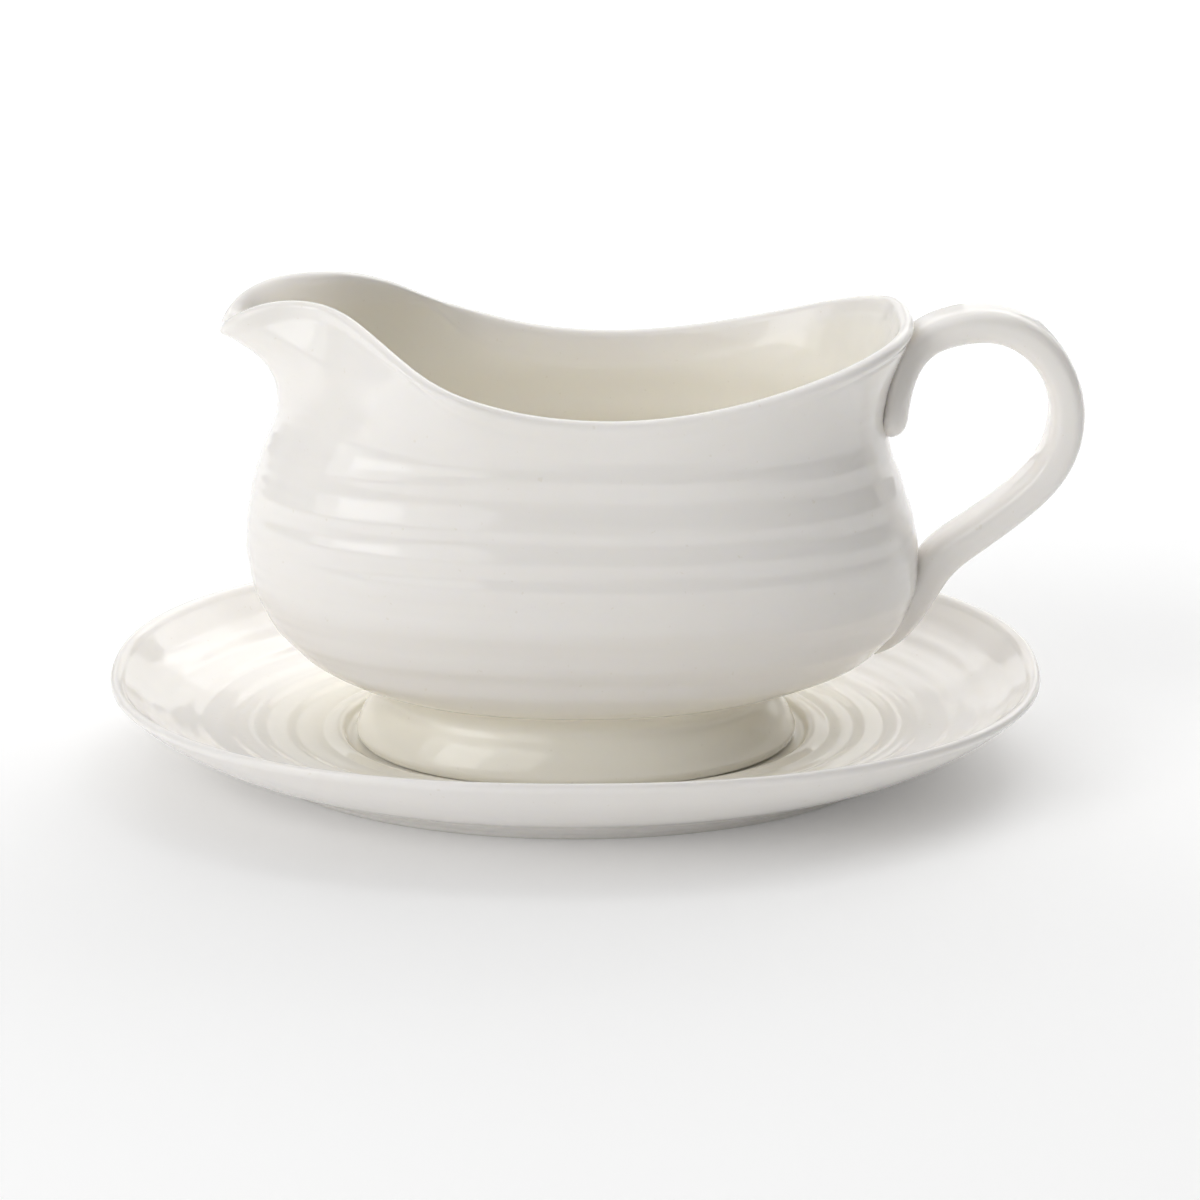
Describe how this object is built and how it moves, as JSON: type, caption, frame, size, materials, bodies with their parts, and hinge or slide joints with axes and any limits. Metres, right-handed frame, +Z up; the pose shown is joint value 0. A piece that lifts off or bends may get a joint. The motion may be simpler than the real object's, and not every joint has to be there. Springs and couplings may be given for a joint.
{
  "type": "gravy boat with stand",
  "caption": "Glazed white porcelain gravy boat with a pinched spout, ribbed belly and looped strap handle, resting on a deep ribbed oval stand.",
  "frame": {"origin": "on the table, under the middle of the whole set's overall box; the middle of the oval stand, and of the boat's foot, lies 4.5 mm towards the spout from it, because the handle reaches out past the stand", "axes": "+X along the set's length, from the spout towards the handle; +Z up, out of the boat's mouth; +Y to the far side as seen in the picture, with the spout on the left"},
  "size_m": [0.2446, 0.1828, 0.1217],
  "materials": {
    "stand_glaze": "gloss",
    "boat_glaze": "gloss"
  },
  "bodies": {
    "stand": {"stand": "stand_glaze"},
    "boat": {"boat_body": "boat_glaze", "boat_handle": "boat_glaze"}
  },
  "joints": [
    {"name": "boat_lift", "type": "slide", "parent": "stand", "child": "boat", "axis": [0, 0, 1], "range_m": [0, 0.125]}
  ]
}
